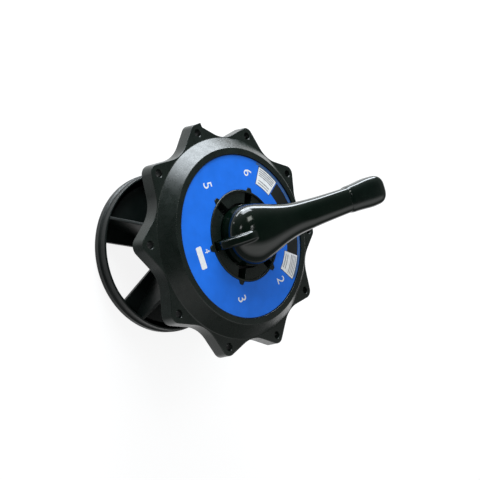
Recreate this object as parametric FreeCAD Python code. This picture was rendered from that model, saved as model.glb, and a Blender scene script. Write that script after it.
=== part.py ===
import FreeCAD, Part
import math
import os

# Key, cover and handle set of a six-position multiport filter valve, in millimetres.
# +Z is the valve axis towards the handle, z = 0 is the top face of the bolt flange,
# and the handle lies along +X. Heights are written z, radii from the valve axis r.

# Bolt flange: a star of lobes, one round each bolt
lobe_count = 10
first_lobe_deg = 24.0
bolt_circle_r = 100.0
bolt_hole_r = 3.4
lobe_tip_r = 7.8
valley_depth = 7.0
valley_fillet_r = 30.0
flange_t = 12.0
flange_draft = 1.4
flange_edge_fillet = 1.0
square_lobe_deg = 96.0

# Crown of the cover, with the seat of the label
crown_inset = 9.5
crown_step = 2.0
crown_slope_w = 10.3
crown_top_z = 10.4
crown_wall = 4.6
crown_edge_fillet = 1.2
crown_band_w = 5.6
label_seat_z = 8.3
label_t = 0.8
label_gap = 0.25

# Well for the handle's hub, with the lands and slots that mark the positions
position_count = 6
lip_outer_r = 41.8
lip_inner_r = 39.8
lip_z = 9.9
land_inner_r = 29.5
land_z = 8.6
land_chamfer = 0.6
slot_w = 8.4
well_floor_t = 5.0
well_wall = 3.6
pointer_base_w = 6.8
pointer_tip_w = 3.4
pointer_reach = 3.4
pointer_z = 9.4

# Spigot that centres the cover in the valve body, with its seal groove
spigot_inset = 16.0
spigot_wall = 7.0
spigot_len = 9.5
groove_depth = 3.6
groove_w = 5.0
groove_drop = 2.4
seal_section_r = 2.45
rib_t = 3.0
rib_drop = 3.0

# Stem and what it runs in
stem_r = 11.0
stem_foot_z = -104.0
running_clearance = 0.05
seat_clearance = 0.03
bush_wall = 3.6
boss_wall = 4.4
boss_len = 11.0
wiper_t = 2.0
stem_seal_section_r = 1.5
stem_seal_drops = (8.5, 13.5)
seal_slack = 0.02
tongue_w = 14.0
tongue_half_len = 10.4

# Pin, heel and lift of the handle
pin_z = 16.0
pin_r = 4.0
pin_length = 45.0
pin_end_gap = 0.2
pin_sunk = 1.2
pin_chamfer = 0.5
lever_arm = 19.0
press_deg = 15.1
heel_gap = 0.25
heel_relief_len = 12.0
heel_relief_rise = 9.0
pocket_gap = 1.0
pocket_side_gap = 0.3
shoulder_room = 4.4
wear_plate_t = 2.0
wear_plate_outer_r = 27.0
wear_plate_gap = 0.15
stem_hole_r = 12.0

# Spring and its washers
spring_wire_r = 2.2
spring_mean_r = 23.6
spring_turns = 5.25
spring_ground_share = 0.55
washer_inner_r = 20.0
lower_washer_inner_r = 16.0
washer_outer_r = 27.4
slip_ring_t = 1.6
washer_t = 1.2
washer_gap = 0.15

# Key: ring, floor with one open port, sloping ribs, hood and hub
key_bottom_z = -112.0
key_floor_t = 4.0
ring_top_z = -97.0
ring_outer_r = 81.5
ring_step = 1.6
ring_wall = 2.2
ring_band_h = 6.0
ring_foot_w = 6.5
port_half_deg = 24.3
gusset_deg = 40.0
gusset_t = 3.0
hood_half_deg = 86.0
hood_drop = 5.8
hub_top_z = -43.0
hub_collar_r = 28.4
hub_collar_t = 5.0
hub_r = 18.0
hub_foot_r = 24.0
spoke_w = 7.0
spoke_h = 6.0

# Screw that holds the stem in the key, and the key that drives it
foot_screw_r = 4.0
foot_screw_len = 20.0
foot_head_r = 6.5
foot_head_t = 4.6
foot_washer_r = 9.0
foot_washer_t = 1.6
foot_recess_gap = 0.5
foot_screw_gap = 0.4
foot_screw_end_gap = 2.0
socket_width = 5.0
drive_key_w = 6.0
drive_key_h = 6.0
drive_key_len = 26.0
drive_key_top_z = -52.0

# Handle: hub, arm and grip
hub_dome_r = 26.0
hub_dome_top_z = 37.0
hub_dome_waist_z = 13.0
hub_skirt_r = 25.4
hub_squareness = 3.2
underside_squareness = 3.2
section_points = 24
nose_w = 8.0
nose_reach = 37.4
nose_gap = 0.4
nose_tip_h = 6.0
nose_chamfer = 2.2
nose_root_x = 8.0
nose_root_drop = 0.8
nose_bend_z = 27.5
arm_wall = 3.4
arm_web_t = 2.4
arm_web_recess = 6.0
arm_web_x = (54.0, 72.0, 88.0)
grip_growth = 1.4
grip_wall = 2.6
grip_tip_len = 9.0

V = FreeCAD.Vector
X_AXIS = V(1, 0, 0)
Y_AXIS = V(0, 1, 0)
Z_AXIS = V(0, 0, 1)
ORIGIN = V(0, 0, 0)
TOUCH = 0.01
OVERRUN = 1.0

valley_r = bolt_circle_r - valley_depth
crown_base_r = bolt_circle_r - crown_inset
crown_top_r = crown_base_r - crown_slope_w
label_seat_r = crown_top_r - crown_band_w
spigot_r = bolt_circle_r - spigot_inset
ring_shoulder_r = ring_outer_r - ring_step
heel_z = wear_plate_gap + wear_plate_t + heel_gap
bush_outer_r = stem_r + running_clearance + bush_wall
boss_r = bush_outer_r + boss_wall
boss_foot_z = -well_floor_t - boss_len
washer_top_z = -well_floor_t - slip_ring_t - washer_gap
spring_top_z = washer_top_z - washer_t
spring_foot_z = hub_top_z + washer_t


def revolved(points, start_deg=0.0, sweep_deg=360.0):
    """Turns a closed outline of (r, z) points about the valve axis."""
    outline = [V(r, 0, z) for r, z in points]
    outline.append(outline[0])
    face = Part.Face(Part.makePolygon(outline))
    face.rotate(ORIGIN, Z_AXIS, start_deg)
    return face.revolve(ORIGIN, Z_AXIS, sweep_deg)


def tube(inner_r, outer_r, low_z, high_z):
    return revolved([(inner_r, low_z), (outer_r, low_z), (outer_r, high_z), (inner_r, high_z)])


def cylinder(radius, low_z, high_z):
    return Part.makeCylinder(radius, high_z - low_z, V(0, 0, low_z))


def radial_plate(points, thickness, azimuth_deg):
    """Plate that stands on a radius: an outline of (r, z) points, thickened both ways."""
    outline = [V(r, -thickness / 2, z) for r, z in points]
    outline.append(outline[0])
    plate = Part.Face(Part.makePolygon(outline)).extrude(Y_AXIS * thickness)
    plate.rotate(ORIGIN, Z_AXIS, azimuth_deg)
    return plate


def side_block(edges, half_width):
    """Block from closed edges in the plane y = 0, thickened both ways along Y."""
    face = Part.Face(Part.Wire(edges))
    face.translate(Y_AXIS * -half_width)
    return face.extrude(Y_AXIS * 2 * half_width)


def side_polygon(points, half_width):
    outline = [V(x, 0, z) for x, z in points]
    outline.append(outline[0])
    return side_block(Part.makePolygon(outline).Edges, half_width)


def spaced(count, first_deg=0.0):
    return [first_deg + 360.0 * k / count for k in range(count)]


def at_azimuth(shape, azimuth_deg):
    turned = shape.copy()
    turned.rotate(ORIGIN, Z_AXIS, azimuth_deg)
    return turned


def round_edges(shape, radius, z):
    """Circular edges of a shape that lie on one radius and height."""
    circles = [edge for edge in shape.Edges if isinstance(edge.Curve, Part.Circle)]
    same_size = [edge for edge in circles if abs(edge.Curve.Radius - radius) < TOUCH]
    return [edge for edge in same_size if abs(edge.Curve.Center.z - z) < TOUCH]


def turned(vector, degrees):
    angle = math.radians(degrees)
    return V(
        vector.x * math.cos(angle) - vector.y * math.sin(angle),
        vector.x * math.sin(angle) + vector.y * math.cos(angle),
        vector.z,
    )


def lobed_outline(growth=0.0):
    """Star outline: an arc about each bolt, straight flanks, and a hollow arc in each valley."""
    tip_r = lobe_tip_r + growth
    hollow_r = valley_fillet_r - growth
    half_pitch = 180.0 / lobe_count
    tip_centre = V(bolt_circle_r, 0, 0)
    valley_centre = turned(V(valley_r + valley_fillet_r, 0, 0), half_pitch)
    across = valley_centre - tip_centre
    lean = math.degrees(math.acos((tip_r + hollow_r) / across.Length))
    normal = turned(across, -lean).normalize()
    flank_top = tip_centre + normal * tip_r
    flank_foot = valley_centre - normal * hollow_r
    tip = tip_centre + X_AXIS * tip_r
    valley = turned(V(valley_r + growth, 0, 0), half_pitch)
    mirrored_top = V(flank_top.x, -flank_top.y, 0)
    next_foot = turned(V(flank_foot.x, -flank_foot.y, 0), 2 * half_pitch)
    next_top = turned(mirrored_top, 2 * half_pitch)
    edges = []
    for azimuth in spaced(lobe_count, first_lobe_deg):
        pieces = [
            Part.Arc(mirrored_top, tip, flank_top).toShape(),
            Part.LineSegment(flank_top, flank_foot).toShape(),
            Part.Arc(flank_foot, valley, next_foot).toShape(),
            Part.LineSegment(next_foot, next_top).toShape(),
        ]
        edges.extend(at_azimuth(piece, azimuth) for piece in pieces)
    return Part.Wire(Part.__sortEdges__(edges))


def make_flange():
    """Flange with drafted sides and rounded lobes, but for one square corner that locates the cover."""
    foot = lobed_outline(flange_draft)
    foot.translate(Z_AXIS * -flange_t)
    flange = Part.makeLoft([foot, lobed_outline()], True, True)
    top_edges = [edge for edge in flange.Edges if abs(edge.BoundBox.ZMin) < TOUCH]
    rim = [edge for edge in top_edges if abs(edge.BoundBox.ZMax) < TOUCH]
    flange = flange.makeFillet(flange_edge_fillet, rim)
    corner = Part.makeBox(lobe_tip_r, lobe_tip_r, flange_t, V(bolt_circle_r, -lobe_tip_r, -flange_t))
    square_corner = at_azimuth(corner, square_lobe_deg)
    return flange.fuse(square_corner).cut(cylinder(spigot_r - spigot_wall, -flange_t, 0))


def make_crown():
    """Shell of the cover from the stem's bore out to the spigot."""
    spigot_foot_z = -flange_t - spigot_len
    groove_top_z = -flange_t - groove_drop
    groove_foot_z = groove_top_z - groove_w
    groove_r = spigot_r - groove_depth
    shell_z = label_seat_z - crown_wall
    well_outer_r = lip_outer_r + well_wall
    spigot_bore_r = spigot_r - spigot_wall
    crown = revolved(
        [
            (bush_outer_r, 0),
            (lip_inner_r, 0),
            (lip_inner_r, lip_z),
            (lip_outer_r, lip_z),
            (lip_outer_r, label_seat_z),
            (label_seat_r, label_seat_z),
            (label_seat_r, crown_top_z),
            (crown_top_r, crown_top_z),
            (crown_base_r, crown_step),
            (crown_base_r, -flange_t),
            (spigot_r, -flange_t),
            (spigot_r, groove_top_z),
            (groove_r, groove_top_z),
            (groove_r, groove_foot_z),
            (spigot_r, groove_foot_z),
            (spigot_r, spigot_foot_z),
            (spigot_bore_r, spigot_foot_z),
            (spigot_bore_r, shell_z - crown_wall),
            (label_seat_r - crown_wall, shell_z),
            (well_outer_r, shell_z),
            (well_outer_r, -well_floor_t),
            (boss_r, -well_floor_t),
            (boss_r, boss_foot_z),
            (bush_outer_r, boss_foot_z),
        ]
    )
    crown = crown.makeFillet(crown_edge_fillet, round_edges(crown, crown_top_r, crown_top_z))
    lip_edges = round_edges(crown, lip_outer_r, lip_z) + round_edges(crown, lip_inner_r, lip_z)
    crown = crown.makeFillet((lip_outer_r - lip_inner_r) * 0.35, lip_edges)
    return crown.makeChamfer(crown_edge_fillet / 2, round_edges(crown, spigot_r, spigot_foot_z))


def make_lands():
    """Raised segments round the well, parted by one slot at each position."""
    lands = tube(land_inner_r, lip_inner_r, -well_floor_t / 2, land_z)
    lands = lands.makeChamfer(land_chamfer, round_edges(lands, land_inner_r, land_z))
    slot = Part.makeBox(lip_inner_r, slot_w, land_z, V(land_inner_r / 2, -slot_w / 2, 0))
    return lands.cut(Part.makeCompound([at_azimuth(slot, a) for a in spaced(position_count)]))


def pointer_outline(growth):
    """Small pointer at azimuth 0, outside the lip, which may grow by a clearance for its notch."""
    base = pointer_base_w / 2 + growth
    tip = pointer_tip_w / 2 + growth
    inner = lip_outer_r - (lip_outer_r - lip_inner_r) / 2
    outer = lip_outer_r + pointer_reach + growth
    half = [(inner, base), (lip_outer_r, base), (outer, tip)]
    corners = [(x, -y) for x, y in half] + half[::-1]
    return [V(x, y, 0) for x, y in corners + corners[:1]]


def make_pointers(growth, low_z, high_z):
    outline = Part.makePolygon(pointer_outline(growth))
    outline.translate(Z_AXIS * low_z)
    pointer = Part.Face(outline).extrude(Z_AXIS * (high_z - low_z))
    return [at_azimuth(pointer, a) for a in spaced(position_count)]


def make_cover():
    inner = lip_outer_r + well_wall / 2
    outer = spigot_r - spigot_wall / 2
    shell_z = label_seat_z - crown_wall / 2
    rib = [
        (inner, -well_floor_t),
        (outer, -flange_t - rib_drop),
        (outer, 0),
        (label_seat_r - crown_wall, shell_z),
        (inner, shell_z),
    ]
    ribs = [radial_plate(rib, rib_t, a) for a in spaced(lobe_count, first_lobe_deg)]
    pointers = make_pointers(0, label_seat_z - label_t, pointer_z)
    cover = make_flange().fuse([make_crown(), make_lands()] + ribs + pointers)
    hole = cylinder(bolt_hole_r, -flange_t, flange_t)
    hole.translate(X_AXIS * bolt_circle_r)
    cover = cover.cut(Part.makeCompound([at_azimuth(hole, a) for a in spaced(lobe_count, first_lobe_deg)]))
    return cover.removeSplitter()


def make_label():
    """Printed ring with a notch round each pointer."""
    label = tube(lip_outer_r + label_gap, label_seat_r - label_gap, label_seat_z, label_seat_z + label_t)
    notches = make_pointers(label_gap, label_seat_z - label_t, label_seat_z + 2 * label_t)
    return label.cut(Part.makeCompound(notches))


def make_cover_seal():
    groove_mid_z = -flange_t - groove_drop - groove_w / 2
    ring_r = spigot_r - groove_depth + seal_section_r + seat_clearance
    return Part.makeTorus(ring_r, seal_section_r, V(0, 0, groove_mid_z))


def make_bush():
    return tube(stem_r + running_clearance, bush_outer_r - seat_clearance, boss_foot_z, -wiper_t)


def make_wiper():
    return tube(stem_r + running_clearance, bush_outer_r - seat_clearance, -wiper_t + seat_clearance, 0)


def make_stem():
    """Round stem with seal grooves, a flat tongue for the handle's pin, a keyway and a tapped foot."""
    shoulder_z = wear_plate_gap + wear_plate_t
    stem = cylinder(stem_r, stem_foot_z, shoulder_z)
    tongue_top = pin_z + tongue_half_len
    blade = Part.makeBox(2 * tongue_half_len, tongue_w, pin_z, V(-tongue_half_len, -tongue_w / 2, 0))
    nose = Part.makeCylinder(tongue_half_len, tongue_w, V(0, -tongue_w / 2, pin_z), Y_AXIS)
    tongue = blade.fuse(nose).common(cylinder(stem_r, 0, tongue_top))
    stem = stem.fuse(tongue)
    for drop in stem_seal_drops:
        groove_r = stem_r - 2 * stem_seal_section_r
        low_z = -drop - stem_seal_section_r
        stem = stem.cut(tube(groove_r, 2 * stem_r, low_z, low_z + 2 * stem_seal_section_r))
    bore = Part.makeCylinder(pin_r + running_clearance, 4 * stem_r, V(0, -2 * stem_r, pin_z), Y_AXIS)
    tapped = cylinder(foot_screw_r, stem_foot_z, stem_foot_z + foot_screw_len)
    return stem.cut([bore, tapped, make_drive_key(seat_clearance)]).removeSplitter()


def make_stem_seal(drop):
    return Part.makeTorus(stem_r - stem_seal_section_r, stem_seal_section_r - seal_slack, V(0, 0, -drop))


def make_drive_key(growth=0.0):
    """Parallel key, half in the stem and half in the key's hub."""
    low = V(stem_r - drive_key_h / 2, -drive_key_w / 2, drive_key_top_z - drive_key_len)
    sizes = [side + 2 * growth for side in (drive_key_h, drive_key_w, drive_key_len)]
    return Part.makeBox(*sizes, low - V(growth, growth, growth))


def make_spring():
    """Compression spring with both ends ground flat."""
    length = spring_top_z - spring_foot_z
    travel = length - spring_ground_share * 2 * spring_wire_r
    pitch = travel / spring_turns
    helix = Part.makeHelix(pitch, travel, spring_mean_r)
    helix.translate(Z_AXIS * (spring_foot_z + (length - travel) / 2))
    section = Part.Wire(Part.makeCircle(spring_wire_r, helix.Vertexes[0].Point, Y_AXIS))
    coil = Part.Wire(helix.Edges).makePipeShell([section], True, True)
    low_z = spring_foot_z + seat_clearance
    return coil.common(tube(washer_inner_r / 2, 2 * washer_outer_r, low_z, spring_top_z - seat_clearance))


def slope_z(r):
    """Height of the sloping top that ribs and hood share, from the ring's rim up to the hub's collar."""
    rise = (hub_top_z - hub_collar_t) - ring_top_z
    return ring_top_z + rise * (ring_shoulder_r - r) / (ring_shoulder_r - hub_collar_r)


def make_key_ring():
    inner_r = ring_shoulder_r - ring_wall
    band_z = key_bottom_z + ring_band_h
    ring = revolved(
        [
            (inner_r - ring_foot_w, key_bottom_z),
            (ring_outer_r, key_bottom_z),
            (ring_outer_r, band_z),
            (ring_shoulder_r, band_z + ring_step),
            (ring_shoulder_r, ring_top_z),
            (inner_r, ring_top_z),
            (inner_r, key_bottom_z + key_floor_t),
            (inner_r - ring_foot_w, key_bottom_z + key_floor_t),
        ]
    )
    return ring.makeFillet(ring_wall * 0.35, round_edges(ring, ring_shoulder_r, ring_top_z))


def make_key_hub():
    """Hub with a collar for the spring, flared at its foot."""
    collar_z = hub_top_z - hub_collar_t
    return revolved(
        [
            (0, key_bottom_z),
            (hub_foot_r, key_bottom_z),
            (hub_foot_r, key_bottom_z + key_floor_t),
            (hub_r, key_bottom_z + key_floor_t + hub_foot_r - hub_r),
            (hub_r, collar_z - (hub_collar_r - hub_r)),
            (hub_collar_r, collar_z),
            (hub_collar_r, hub_top_z),
            (0, hub_top_z),
        ]
    )


def make_key():
    """Turning part of the valve: floor with one open port, two gussets, and a hood on the far side."""
    inner_r = hub_r - OVERRUN
    outer_r = ring_shoulder_r - ring_wall / 2
    floor_z = key_bottom_z + key_floor_t
    collar_foot_z = slope_z(hub_collar_r)
    floor_sweep = 180.0 - port_half_deg - hood_half_deg
    floor_section = [(inner_r, key_bottom_z), (outer_r, key_bottom_z), (outer_r, floor_z), (inner_r, floor_z)]
    floors = [revolved(floor_section, start, floor_sweep) for start in (hood_half_deg, 180.0 + port_half_deg)]
    rib = [
        (inner_r, key_bottom_z + key_floor_t / 4),
        (outer_r, key_bottom_z + key_floor_t / 4),
        (outer_r, slope_z(outer_r)),
        (hub_collar_r, collar_foot_z),
        (inner_r, collar_foot_z),
    ]
    rib_azimuths = [180.0 - gusset_deg, 180.0 + gusset_deg, -hood_half_deg, hood_half_deg]
    walls = [radial_plate(rib, gusset_t, azimuth) for azimuth in rib_azimuths]
    hood_section = [
        (inner_r, collar_foot_z),
        (hub_collar_r, collar_foot_z),
        (outer_r, slope_z(outer_r)),
        (outer_r, slope_z(outer_r) - hood_drop),
        (hub_collar_r, collar_foot_z - hood_drop),
        (inner_r, collar_foot_z - hood_drop),
    ]
    hood = revolved(hood_section, -hood_half_deg, 2 * hood_half_deg)
    spoke = Part.makeBox(outer_r - inner_r, spoke_w, spoke_h, V(inner_r, -spoke_w / 2, key_bottom_z))
    body = make_key_hub().fuse([make_key_ring(), hood, spoke] + floors + walls)
    washer_seat_z = key_bottom_z + foot_head_t + foot_washer_t
    socket = cylinder(stem_r + seat_clearance, stem_foot_z, hub_top_z + OVERRUN)
    recess = cylinder(foot_washer_r + foot_recess_gap, key_bottom_z, washer_seat_z)
    screw_way = cylinder(foot_screw_r + foot_screw_gap, key_bottom_z, stem_foot_z + OVERRUN)
    return body.cut([socket, recess, screw_way, make_drive_key(seat_clearance)]).removeSplitter()


def make_foot_washer():
    seat_z = key_bottom_z + foot_head_t + foot_washer_t
    return tube(foot_screw_r + foot_screw_gap, foot_washer_r, seat_z - foot_washer_t, seat_z)


def make_foot_screw():
    head_top_z = key_bottom_z + foot_head_t
    shank = cylinder(foot_screw_r, head_top_z - OVERRUN, stem_foot_z + foot_screw_len - foot_screw_end_gap)
    head = cylinder(foot_head_r, key_bottom_z + foot_screw_gap, head_top_z)
    corner = V(socket_width / math.sqrt(3), 0, key_bottom_z)
    corners = [turned(corner, azimuth) for azimuth in spaced(6)]
    socket = Part.Face(Part.makePolygon(corners + corners[:1])).extrude(Z_AXIS * foot_head_t * 0.6)
    return shank.fuse(head).cut(socket).removeSplitter()


# Stations of the arm: x and z of its widest level, lean in degrees, half width, rise and drop
arm_stations = [
    (0.0, 13.0, 0.0, 25.85, 23.85, 10.4),
    (10.0, 15.5, 8.0, 25.2, 22.3, 10.4),
    (19.0, 19.2, 16.0, 22.0, 19.2, 10.0),
    (30.0, 25.2, 22.0, 18.4, 16.0, 9.4),
    (45.0, 31.8, 23.0, 15.5, 13.4, 8.4),
    (60.0, 37.9, 21.0, 13.8, 11.7, 8.0),
    (80.0, 45.5, 18.0, 12.8, 9.8, 8.2),
    (102.0, 52.6, 16.5, 12.3, 8.6, 8.6),
]
grip_stations = [
    (102.0, 52.6, 16.5, 12.3, 8.6, 8.6),
    (116.0, 56.4, 15.5, 12.8, 8.8, 8.8),
    (130.0, 60.3, 15.5, 13.4, 9.0, 9.0),
    (139.0, 62.9, 16.0, 12.8, 8.8, 8.8),
]


def squared(angle, squareness):
    """Point at an angle on a unit circle whose four quarters are pushed out towards a square."""
    c = math.cos(angle)
    s = math.sin(angle)
    reach = (abs(c) ** squareness + abs(s) ** squareness) ** (-1 / squareness)
    return c * reach, s * reach


def arm_section(x, z, lean_deg, half_w, rise, drop):
    """Closed rounded section, square to the arm, with its own rise and drop at its widest level."""
    points = []
    for k in range(section_points):
        angle = 2 * math.pi * k / section_points
        squareness = hub_squareness if math.sin(angle) >= 0 else underside_squareness
        across, up = squared(angle, squareness)
        points.append(V(0, across * half_w, up * (rise if up >= 0 else drop)))
    curve = Part.BSplineCurve()
    spacing = [k / section_points for k in range(section_points + 1)]
    curve.interpolate(Points=points, PeriodicFlag=True, Parameters=spacing)
    wire = Part.Wire(curve.toShape())
    wire.rotate(ORIGIN, Y_AXIS, -lean_deg)
    wire.translate(V(x, 0, z))
    return wire


def skinned(wires):
    """Smooth solid through closed sections, of a low degree so that it runs evenly between them."""
    return Part.makeLoft(wires, True, False, False, 3)


def lofted(stations, growth=0.0):
    wires = []
    for x, z, lean_deg, half_w, rise, drop in stations:
        wires.append(arm_section(x, z, lean_deg, half_w + growth, rise + growth, drop + growth))
    return skinned(wires)


def heel_point(degrees):
    """Point of the heel's underside that meets the plate when the handle is down by an angle.

    The curve is the involute of a circle as large as the lever arm, so the lift is even."""
    angle = math.radians(degrees)
    height = pin_z - heel_z + lever_arm * angle
    x = height * math.sin(angle) + lever_arm * math.cos(angle)
    z = pin_z - height * math.cos(angle) + lever_arm * math.sin(angle)
    return V(x, 0, z)


def heel_relief():
    """What is cut from the front of the heel so that it rolls on the plate."""
    start = heel_point(0)
    middle = heel_point(press_deg / 2)
    end = heel_point(press_deg)
    front = V(end.x + heel_relief_len, 0, end.z + heel_relief_rise)
    low_front = V(front.x, 0, 0)
    low_back = V(start.x, 0, 0)
    edges = [Part.Arc(start, middle, end).toShape()]
    corners = [end, front, low_front, low_back, start]
    edges += [Part.LineSegment(a, b).toShape() for a, b in zip(corners, corners[1:])]
    return side_block(edges, 2 * hub_dome_r)


def make_hub_dome():
    """Hub of the handle: a full dome with a rather flat crest, on a short skirt."""
    rise = hub_dome_top_z - hub_dome_waist_z
    points = []
    for degrees in (0, 15, 30, 45, 60, 75, 90):
        across, up = squared(math.radians(degrees), hub_squareness)
        points.append(V(hub_dome_r * across, 0, hub_dome_waist_z + rise * up))
    profile = Part.BSplineCurve()
    profile.interpolate(Points=points, InitialTangent=Z_AXIS, FinalTangent=X_AXIS * -1)
    crest = V(0, 0, hub_dome_top_z)
    corners = [crest, V(0, 0, heel_z), V(hub_skirt_r, 0, heel_z), points[0]]
    edges = [profile.toShape()] + [Part.LineSegment(a, b).toShape() for a, b in zip(corners, corners[1:])]
    return Part.Face(Part.Wire(edges)).revolve(ORIGIN, Z_AXIS, 360)


def make_nose():
    """Index nose on the back of the hub: it points at the position."""
    low = land_z + nose_gap
    root = V(-nose_root_x, 0, hub_dome_top_z - nose_root_drop)
    bend = V(-hub_dome_r, 0, nose_bend_z)
    tip = V(-nose_reach, 0, low + nose_tip_h)
    corners = [tip, V(-nose_reach, 0, low), V(-nose_root_x, 0, low), root]
    edges = [Part.Arc(root, bend, tip).toShape()]
    edges += [Part.LineSegment(a, b).toShape() for a, b in zip(corners, corners[1:])]
    nose = side_block(edges, nose_w / 2)
    curved = [edge for edge in nose.Edges if isinstance(edge.Curve, Part.Circle)]
    return nose.makeChamfer(nose_chamfer, curved)


def stem_pocket():
    """Room in the hub for the stem's tongue, over the whole stroke of the handle."""
    room = tongue_half_len + pocket_gap
    press = math.radians(press_deg)
    front_foot = stem_r / math.cos(press) + (pin_z - heel_z) * math.tan(press) + pocket_gap
    half_w = tongue_w / 2 + pocket_side_gap
    crown = Part.makeCylinder(room, 2 * half_w, V(0, -half_w, pin_z), Y_AXIS)
    throat = side_polygon([(-room, pin_z), (-room, 0), (front_foot, 0), (room, pin_z)], half_w)
    shoulder_half_w = stem_r + pocket_gap
    shoulder_top_z = heel_z + shoulder_room
    size = (room + front_foot, 2 * shoulder_half_w, shoulder_top_z)
    shoulder = Part.makeBox(*size, V(-room, -shoulder_half_w, 0))
    return [crown, throat, shoulder]


def arm_hollow():
    """What is cored out of the arm from below, round the recessed cross webs."""
    hollow_stations = []
    for x, z, lean_deg, half_w, rise, drop in arm_stations[3:]:
        hollow_stations.append((x, z, lean_deg, half_w - arm_wall, rise - arm_wall, drop + arm_wall))
    hollow = lofted(hollow_stations)
    raised_arm = lofted(arm_stations)
    raised_arm.translate(Z_AXIS * arm_web_recess)
    web_slab_h = 2 * (hub_dome_top_z + hub_dome_r)
    webs = []
    for x in arm_web_x:
        slab = Part.makeBox(arm_web_t, 2 * hub_dome_r, web_slab_h, V(x, -hub_dome_r, 0))
        webs.append(slab.common(raised_arm))
    return hollow.cut(webs)


def make_handle():
    tang = lofted(grip_stations, -grip_wall)
    arm = lofted(arm_stations)
    handle = make_hub_dome().fuse([arm, make_nose(), tang])
    bore_end = V(0, hub_dome_r - pin_length, pin_z)
    pin_bore = Part.makeCylinder(pin_r + seat_clearance, 2 * hub_dome_r, bore_end, Y_AXIS)
    return handle.cut(stem_pocket() + [heel_relief(), pin_bore, arm_hollow()]).removeSplitter()


def make_grip():
    """Soft sleeve over the end of the arm, closed by a rounded tip."""
    x, z, lean_deg, half_w, rise, drop = grip_stations[-1]
    lean = math.radians(lean_deg)
    tip_sections = []
    for degrees in (0, 25, 45, 62, 76):
        along = grip_tip_len * math.sin(math.radians(degrees))
        size = math.cos(math.radians(degrees))
        dx = along * math.cos(lean)
        dz = along * math.sin(lean)
        outer = [(value + grip_growth) * size for value in (half_w, rise, drop)]
        tip_sections.append(arm_section(x + dx, z + dz, lean_deg, *outer))
    sleeve = lofted(grip_stations, grip_growth).fuse(skinned(tip_sections))
    return sleeve.cut(lofted(grip_stations, seat_clearance - grip_wall)).removeSplitter()


def make_pin():
    """Pin from the blind end of its bore to just below the face of the hub."""
    end = V(0, hub_dome_r - pin_length + pin_end_gap, pin_z)
    pin = Part.makeCylinder(pin_r, pin_length - pin_end_gap - pin_sunk, end, Y_AXIS)
    return pin.makeChamfer(pin_chamfer, [edge for edge in pin.Edges if isinstance(edge.Curve, Part.Circle)])


def build():
    slip_top = -well_floor_t
    return {
        "cover": make_cover(),
        "position_label": make_label(),
        "cover_seal": make_cover_seal(),
        "stem_bush": make_bush(),
        "stem_wiper": make_wiper(),
        "slip_ring": tube(washer_inner_r, washer_outer_r, slip_top - slip_ring_t, slip_top),
        "heel_wear_plate": tube(stem_hole_r, wear_plate_outer_r, wear_plate_gap, heel_z - heel_gap),
        "upper_spring_washer": tube(washer_inner_r, washer_outer_r, spring_top_z, washer_top_z),
        "spring": make_spring(),
        "lower_spring_washer": tube(lower_washer_inner_r, washer_outer_r, hub_top_z, spring_foot_z),
        "key_rotor": make_key(),
        "stem": make_stem(),
        "upper_stem_seal": make_stem_seal(stem_seal_drops[0]),
        "lower_stem_seal": make_stem_seal(stem_seal_drops[1]),
        "drive_key": make_drive_key(),
        "foot_washer": make_foot_washer(),
        "foot_screw": make_foot_screw(),
        "handle": make_handle(),
        "handle_grip": make_grip(),
        "handle_pin": make_pin(),
    }


os.makedirs("parts", exist_ok=True)
for node, shape in build().items():
    shape.exportStep("parts/" + node + ".step")
    print(node, "solids", len(shape.Solids), "valid", shape.isValid(), "volume", round(shape.Volume, 1))
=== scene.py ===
import math

import bmesh
import bpy
import numpy as np
from mathutils import Matrix, Vector


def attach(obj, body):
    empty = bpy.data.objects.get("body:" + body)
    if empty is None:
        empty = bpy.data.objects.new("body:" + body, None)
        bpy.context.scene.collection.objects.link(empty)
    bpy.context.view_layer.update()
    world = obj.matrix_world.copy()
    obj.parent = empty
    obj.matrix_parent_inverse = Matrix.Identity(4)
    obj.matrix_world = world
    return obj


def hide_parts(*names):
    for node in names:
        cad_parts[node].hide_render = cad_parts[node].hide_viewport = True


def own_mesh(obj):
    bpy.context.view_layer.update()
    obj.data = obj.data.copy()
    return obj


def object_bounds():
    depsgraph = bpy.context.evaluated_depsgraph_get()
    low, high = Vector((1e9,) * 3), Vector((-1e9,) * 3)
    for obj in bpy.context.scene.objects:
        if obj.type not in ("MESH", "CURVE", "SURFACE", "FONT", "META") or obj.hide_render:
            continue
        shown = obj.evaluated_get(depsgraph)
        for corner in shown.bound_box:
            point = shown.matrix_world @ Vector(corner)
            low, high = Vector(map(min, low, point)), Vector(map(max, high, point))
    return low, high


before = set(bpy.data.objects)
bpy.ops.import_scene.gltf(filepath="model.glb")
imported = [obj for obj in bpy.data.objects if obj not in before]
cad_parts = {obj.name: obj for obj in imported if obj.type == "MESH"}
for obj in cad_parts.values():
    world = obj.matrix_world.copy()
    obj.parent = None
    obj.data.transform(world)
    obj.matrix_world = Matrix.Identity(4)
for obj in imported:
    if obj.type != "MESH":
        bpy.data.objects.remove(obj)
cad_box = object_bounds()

# Lengths below are millimetres, as in the part's source, and become metres in the meshes
MM = 0.001
SPIN = 288
FINE_SPIN = 360

# Flange: a star of lobes, one round each bolt hole, and one of them with a square corner
LOBES = 10
LOBE_PITCH = 36.0
FIRST_LOBE = 24.0
SQUARE_LOBE = 2
SQUARE_ROUNDING = 0.8
BOLT_R = 100.0
HOLE_R = 3.4
HOLE_BEVEL = 0.3
TIP_R = 7.8
VALLEY_R = 93.0
VALLEY_FILLET = 30.0
FLANGE_T = 12.0
FLANGE_IN_R = 89.6
DRAFT = 1.4
FLANGE_ROUNDING = 0.55

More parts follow.
